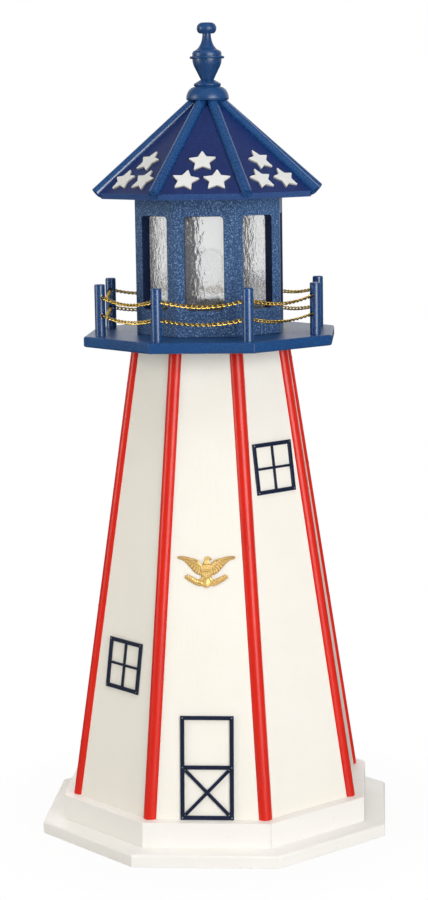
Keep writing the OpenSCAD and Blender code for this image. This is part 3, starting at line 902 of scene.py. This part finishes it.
def pane_form(waves):
    """One pane: cast in shallow hollows on its outer face, flat inside."""
    wide, high = WINDOW_W + 2 * PANE_LAP, WINDOW_H + 2 * PANE_LAP
    rows, cols = PANE_ROWS, PANE_COLS
    outer, inner = [], []
    for i in range(rows + 1):
        for j in range(cols + 1):
            y, z = (j / cols - 0.5) * wide, i / rows * high
            hollow = sum(math.sin(a * y + s * math.sin(b * z) * 3 + b * z * 1.4 + p) for a, b, p, s in waves)
            edge = min(1, 4 * min(j, cols - j) / cols, 8 * min(i, rows - i) / rows)
            outer.append((PANE_T - 0.06 * edge * (0.5 + 0.16 * hollow), y, z))
            inner.append((0, y, z))
    row, back = cols + 1, len(outer)
    faces = []
    for a in (i * row + j for i in range(rows) for j in range(cols)):
        faces.append((a, a + 1, a + row + 1, a + row))
        faces.append((back + a, back + a + row, back + a + row + 1, back + a + 1))
    rim = grid_rim(rows, cols)
    faces += [(a, back + a, back + b, b) for a, b in zip(rim, rim[1:] + rim[:1])]
    return outer + inner, faces


def make_panes(finish):
    """Panes behind the window openings, which they lap on all sides."""
    low = Z_EAVE - WINDOW_HEAD - WINDOW_H - PANE_LAP
    luck = random.Random(11)
    shape = Shape()
    for side in range(1, SIDES + 1):
        form = pane_form(pane_waves(luck))
        shape.add(form, side_place(side) @ moved(LANTERN_IN - LANTERN_T - PANE_T, 0, low))
    piece("hammered_panes", shape, "tower", [finish], ["window_panes"], 60)


def bulb_outline(head, neck):
    """One side of a pear-shaped bulb, from the neck to the crown."""
    flare = 49
    outline = [(neck, 0)]
    for k in range(25):
        t = k / 24
        outline.append((neck + (head - neck) * (1 - math.cos(math.pi * t)) / 2, 2 + (flare - 2) * t))
    return outline + arc(0, flare, head, head, 4, 88, 18) + [(0.01, flare + head)]


def make_lamp(plastic, metal, glass):
    """Lamp holder with its ribbed skirt, screw cap with rolled thread, and a pear-shaped clear bulb."""
    floor = moved(0, 0, Z_FLOOR)
    holder = [(0.01, 0), (37.4, 0), (38, 0.6)] + arc(35, 3, 3, 3, 0, 90, 6) + [(23.5, 6.6)]
    holder += arc(23.5, 9, 2.4, 2.4, 270, 180, 6) + [(21, 14)] + arc(20.0, 18, 0.9, 1.2, -90, 90, 6)
    holder += [(20.6, 22), (20.6, 40)] + arc(18.6, 44, 2.4, 4, 0, 90, 8)
    holder += [(14.2, 48), (13.6, 47.4), (13.6, 22.2), (0.01, 22.2)]
    shape = Shape().add(turned(holder, 64), floor)
    piece("round_lamp_holder", shape, "tower", [plastic], ["lamp_holder"], 40)
    cap = [(0.01, 22.4), (4.5, 22.4), (5.5, 24.4), (10.5, 26)]
    for k in range(6):
        cap += arc(11.9, 28.2 + 3.2 * k, 1.0, 1.6, -70, 70, 6)
    cap += [(12.6, 47.2), (12.9, 49.5), (0.01, 49.8)]
    shape = Shape().add(turned(cap, 48), floor)
    piece("bulb_screw_cap", shape, "tower", [metal], ["bulb_cap"], 40)
    shell = bulb_outline(25, 12.5) + bulb_outline(24.1, 11.6)[::-1]
    shape = Shape().add(turned(shell, 64, loop=True), floor @ moved(0, 0, 50))
    piece("clear_bulb", shape, "tower", [glass], ["bulb_glass"], 40)


# Roof

# STAR_WAIST is the radius of a star's hollows as a share of STAR_R. STAR_SPOTS are down the slope and
# across it, and STAR_ANGLES are the turns of the front panel's stars, in degrees.
STAR_R, STAR_T = 21, 3.5
STAR_WAIST = 0.52
STAR_SPOTS = ((133, 0), (172, -22.8), (172, 22.8))
STAR_ANGLES = {(1, 0): 3, (1, 1): -9, (1, 2): 1}


def star_outline(grow=0.0):
    """The rim of a star with rounded tips and hollows, its first tip uphill."""
    corners = []
    for k in range(10):
        r = (STAR_R + 0.6 if k % 2 == 0 else STAR_R * STAR_WAIST) + grow
        a = math.pi + k * math.pi / 5
        corners.append(Vector((r * math.cos(a), r * math.sin(a))))
    outline = []
    for k, spot in enumerate(corners):
        cut = 2.6 if k % 2 == 0 else 1.6
        start = spot + (corners[k - 1] - spot).normalized() * cut
        end = spot + (corners[(k + 1) % 10] - spot).normalized() * cut
        for t in (0, 0.25, 0.5, 0.75, 1):
            outline.append(start * (1 - t) ** 2 + spot * 2 * t * (1 - t) + end * t * t)
    return outline


def make_stars(face, edge):
    """Thick stars with softened edges and sides in a darker painted shade, set a little out of true by hand.
    """
    luck = random.Random(5)
    levels = ((-0.3, 0), (0, 0.4), (0, STAR_T - 0.9), (-0.35, STAR_T - 0.3), (-1.1, STAR_T))
    form = loft([[(p.x, p.y, z) for p in star_outline(grow)] for grow, z in levels])
    rim = len(star_outline())
    # The sides of the rim take the second finish, a darker painted shade.
    slots = [1 if k < 2 * rim else 0 for k in range(len(form[1]))]
    shape = Shape()
    for side in range(1, SIDES + 1):
        for k, (down, across) in enumerate(STAR_SPOTS):
            angle = STAR_ANGLES.get((side, k), luck.uniform(-9, 9))
            place = roof_place(side, down, across) @ moved(0, 0, GLUE) @ turn(angle, "Z")
            shape.add(form, place, slots)
    piece("roof_star_set", shape, "roof", [face, edge], ["roof_stars"], 50)


def make_finial(finish):
    """Turned finial: domed foot, ring, waist, urn with a collar, hollow neck and round knob."""
    foot, collar, knob, high = 32, 26, 14.8, 114
    urn, waist, ring, lip = 0.845 * collar, 0.31 * foot, 0.64 * foot, 1.8
    outline = [(0.01, 0), (0.98 * foot, 0)]
    outline += arc(0.55 * foot, 0.02 * high, 0.45 * foot, 0.155 * high, 0, 84, 26)
    outline += arc(ring - lip, 0.2 * high, lip, 0.018 * high, -60, 75, 10)
    outline += [(waist + 0.6, 0.2615 * high), (waist, 0.266 * high)]
    outline += arc(-1.2 * urn, 0.534 * high, 2.2 * urn, 0.312 * high, -24, 0, 22)
    outline += arc(collar - lip, 0.551 * high, lip, 0.016 * high, -90, 90, 12)
    outline += [(urn, 0.567 * high), (urn, 0.607 * high), (urn * 0.985, 0.615 * high)]
    outline += arc(urn, 0.86 * high, urn - 0.43 * knob, 0.225 * high, 262, 180, 26)
    outline += arc(0.45 * knob, 0.925 * high, 0.55 * knob, 0.075 * high, -60, 90, 26) + [(0.01, high)]
    shape = Shape().add(turned(outline, 96), moved(0, 0, Z_PEAK + GLUE))
    piece("turned_finial", shape, "roof", [finish], ["finial"], 32)


# Stage


def ray_kind(f, *kinds):
    """1 for rays of the named kinds, else 0."""
    share = 0
    for kind in kinds:
        share = f.node("ShaderNodeLightPath", {}, {}, f"Is {kind} Ray") + share
    return share.limited()


def make_world():
    """White to the camera. For mirrors and glass a white backdrop behind and a dim studio in front."""
    world = bpy.data.worlds.new("studio")
    bpy.context.scene.world = world
    world.use_nodes = True
    f = Finish("studio", world.node_tree)
    way = f.node("ShaderNodeTexCoord", {}, {}, "Generated")
    backward = f.node("ShaderNodeSeparateXYZ", {}, {"Vector": way}, "Y")
    upward = f.node("ShaderNodeSeparateXYZ", {}, {"Vector": way}, "Z")
    backdrop = (backward * 3 - 1.2).limited() * (2.4 - upward * 3.2).limited()
    white, studio, soft = (
        f.node("ShaderNodeBackground", {}, {"Color": colour})
        for colour in ((1, 1, 1, 1), (0.15, 0.16, 0.18, 1), (0.147, 0.145, 0.14, 1))
    )
    around = f.blend(backdrop, studio, white)
    shown = f.blend(ray_kind(f, "Glossy", "Transmission"), soft, around)
    f.output(f.blend(ray_kind(f, "Camera"), shown, white), "ShaderNodeOutputWorld")


def make_floor():
    """White, with the object's shadow kept near it. Mirrors see it dark, as a floor out of the light."""
    mesh = bpy.data.meshes.new("floor")
    reach = 12
    corners = [(-reach, -reach, 0), (reach, -reach, 0), (reach, reach, 0), (-reach, reach, 0)]
    mesh.from_pydata(corners, [], [(0, 1, 2, 3)])
    floor = bpy.data.objects.new("floor", mesh)
    bpy.context.scene.collection.objects.link(floor)
    f = Finish("floor_white")
    away = f.node("ShaderNodeVectorMath", {"operation": "LENGTH"}, {0: f.place()}, "Value")
    matt = f.node("ShaderNodeBsdfDiffuse", {}, {"Color": (0.8, 0.8, 0.8, 1)})
    dark = f.node("ShaderNodeBsdfDiffuse", {}, {"Color": (0.06, 0.06, 0.065, 1)})
    glow = f.node("ShaderNodeEmission", {}, {"Color": (1, 1, 1, 1), "Strength": 1.0})
    seen = ray_kind(f, "Camera", "Transmission") * (0.86 + 0.3 * away).limited()
    mirrored = ray_kind(f, "Glossy") - ray_kind(f, "Transmission")
    f.output(f.blend(mirrored.limited(), f.blend(seen, matt, glow), dark))
    mesh.materials.append(f.material)


def make_lamps():
    """Area lamps round the middle of the object. The top and back ones don't show in mirrors or glass.

    Each has its angle from the front to the right and up in degrees, distance, width and height in
    metres, watts and colour."""
    middle = Vector((0, 0, 0.66))
    lamps = (
        ("key", 33, 11, 3.2, 1.8, 1.8, 69, (1.0, 0.992, 0.985)),
        ("left", -70, 12, 2.8, 0.9, 1.5, 26, (1.0, 0.975, 0.89)),
        ("top", 5, 72, 2.6, 1.5, 1.5, 25, (1.0, 0.99, 0.98)),
        ("back", 195, 22, 3.2, 1.8, 1.4, 45, (1.0, 0.99, 0.98)),
    )
    for name, azimuth, rise, away, wide, high, power, colour in lamps:
        data = bpy.data.lights.new(name, "AREA")
        data.shape = "RECTANGLE"
        data.size, data.size_y = wide, high
        data.energy = power
        data.color = colour
        lamp = bpy.data.objects.new(name, data)
        bpy.context.scene.collection.objects.link(lamp)
        place = turn(azimuth, "Z") @ turn(-rise, "X") @ Vector((0, -away, 0))
        lamp.location = middle + place
        lamp.rotation_mode = "QUATERNION"
        lamp.rotation_quaternion = place.to_track_quat("Z", "Y")
        if name in ("top", "back"):
            lamp.visible_glossy = lamp.visible_transmission = False


# The lighthouse


def main():
    make_camera()
    make_world()
    make_floor()
    make_lamps()
    base_white = painted("base_white", "#fbf9f5", "#f5f2ed", "#fffefb", 0.25, 0.42)
    wall_ivory = painted("wall_ivory", "#f9f6ee", "#f4f0e4", "#fdfbf4", 0.25, 0.40, UPRIGHT)
    batten_red = painted("batten_red", "#e42108", "#c61404", "#ee4a34", 0.35, 0.3, UPRIGHT, relief=0.5)
    deck_blue = painted("deck_blue", "#1b4c83", "#123366", "#3a72aa", 0.8, 0.30, gloss=0.45)
    rod_blue = painted("rod_blue", "#174b84", "#0d2e60", "#3576ac", 0.7, 0.25, relief=0.15, gloss=1.0)
    turned_blue = painted("turned_blue", "#16487e", "#0d2e5e", "#3272a6", 0.7, 0.34, relief=0.3, gloss=0.7)
    lantern_blue = painted("lantern_blue", "#40618d", "#203a62", "#9abbe6", 1.3, 0.40, relief=3, gloss=0.25)
    # Darker navy on the lantern's window reveals: painted shade round the openings.
    reveal_painted_shade = painted("reveal_painted_shade", "#16264a", "#0f1a36", "#34518a", 0.9, 0.45, relief=2, gloss=0.2)
    roof_blue = painted("roof_blue", "#182c66", "#101f4e", "#2c4c90", 0.9, 0.36)
    # A lighter copy of the roof blue for the eave cuts and the panels' backs: painted light on faces that the
    # lamps light less.
    eave_painted_light = painted("eave_painted_light", "#395a96", "#284478", "#5580b8", 0.8, 0.3)
    navy = moulded("navy_trim", "#111f3d", "#0d152b", 0.40)
    pine = bare_wood("planed_pine", "#d9b98a", "#b58a55", (1, 1, 0.06))
    star_ivory = painted("star_ivory", "#e5e6e5", "#dbdbd7", "#efefed", 0.3, 0.45)
    # Darker grey for the stars' sides: painted shade.
    star_side_painted_shade = painted("star_side_painted_shade", "#c2bfb4", "#aaa698", "#d4d2c8", 0.5, 0.6)
    pin = plated("pin_steel", "#c9ccd0", 0.35)
    zinc = plated("zinc", "#b9bcbf", 0.38)

    sanded("base_board", base_white, 1.2)
    sanded("skirt_boards", base_white, 1.0)
    dress("foot_frame", pine)
    for side in range(1, SIDES + 1):
        sanded(f"tower_wall_{side}", wall_ivory, 0.5)
    dress("head_plate", pine)
    make_battens(batten_red)
    make_nail_marks(batten_red)
    make_trims(navy, pin)
    make_screw_plugs(base_white)
    make_eagle(gilded_casting("gold_cast"))

    sanded("gallery_deck", deck_blue, 1.0)
    sanded("rail_posts", rod_blue, 0)
    make_chains(gold_wire("gold_chain"))
    for side in range(1, SIDES + 1):
        facing = side_place(side).to_3x3() @ Vector((1, 0, 0))
        sanded(f"lantern_wall_{side}", lantern_blue, 1.0, reveal_painted_shade, facing, 4.5)
    make_panes(hammered_acrylic("hammered_acrylic"))
    make_lamp(moulded("black_plastic", "#1b1a19", "#100f0f", 0.25), zinc, clear_glass("clear_glass"))

    for side in range(1, SIDES + 1):
        facing = roof_place(side, 0, 0).to_3x3() @ Vector((0, 0, 1))
        sanded(f"roof_panel_{side}", roof_blue, 0.8, eave_painted_light, facing)
    sanded("roof_ribs", rod_blue, 0.8)
    sanded("soffit_board", lantern_blue, 0.8)
    dress("locating_cleats", pine)
    make_stars(star_ivory, star_side_painted_shade)
    make_finial(turned_blue)
    dress("finial_stud", zinc)


main()
bpy.context.scene.view_settings.view_transform = "Standard"
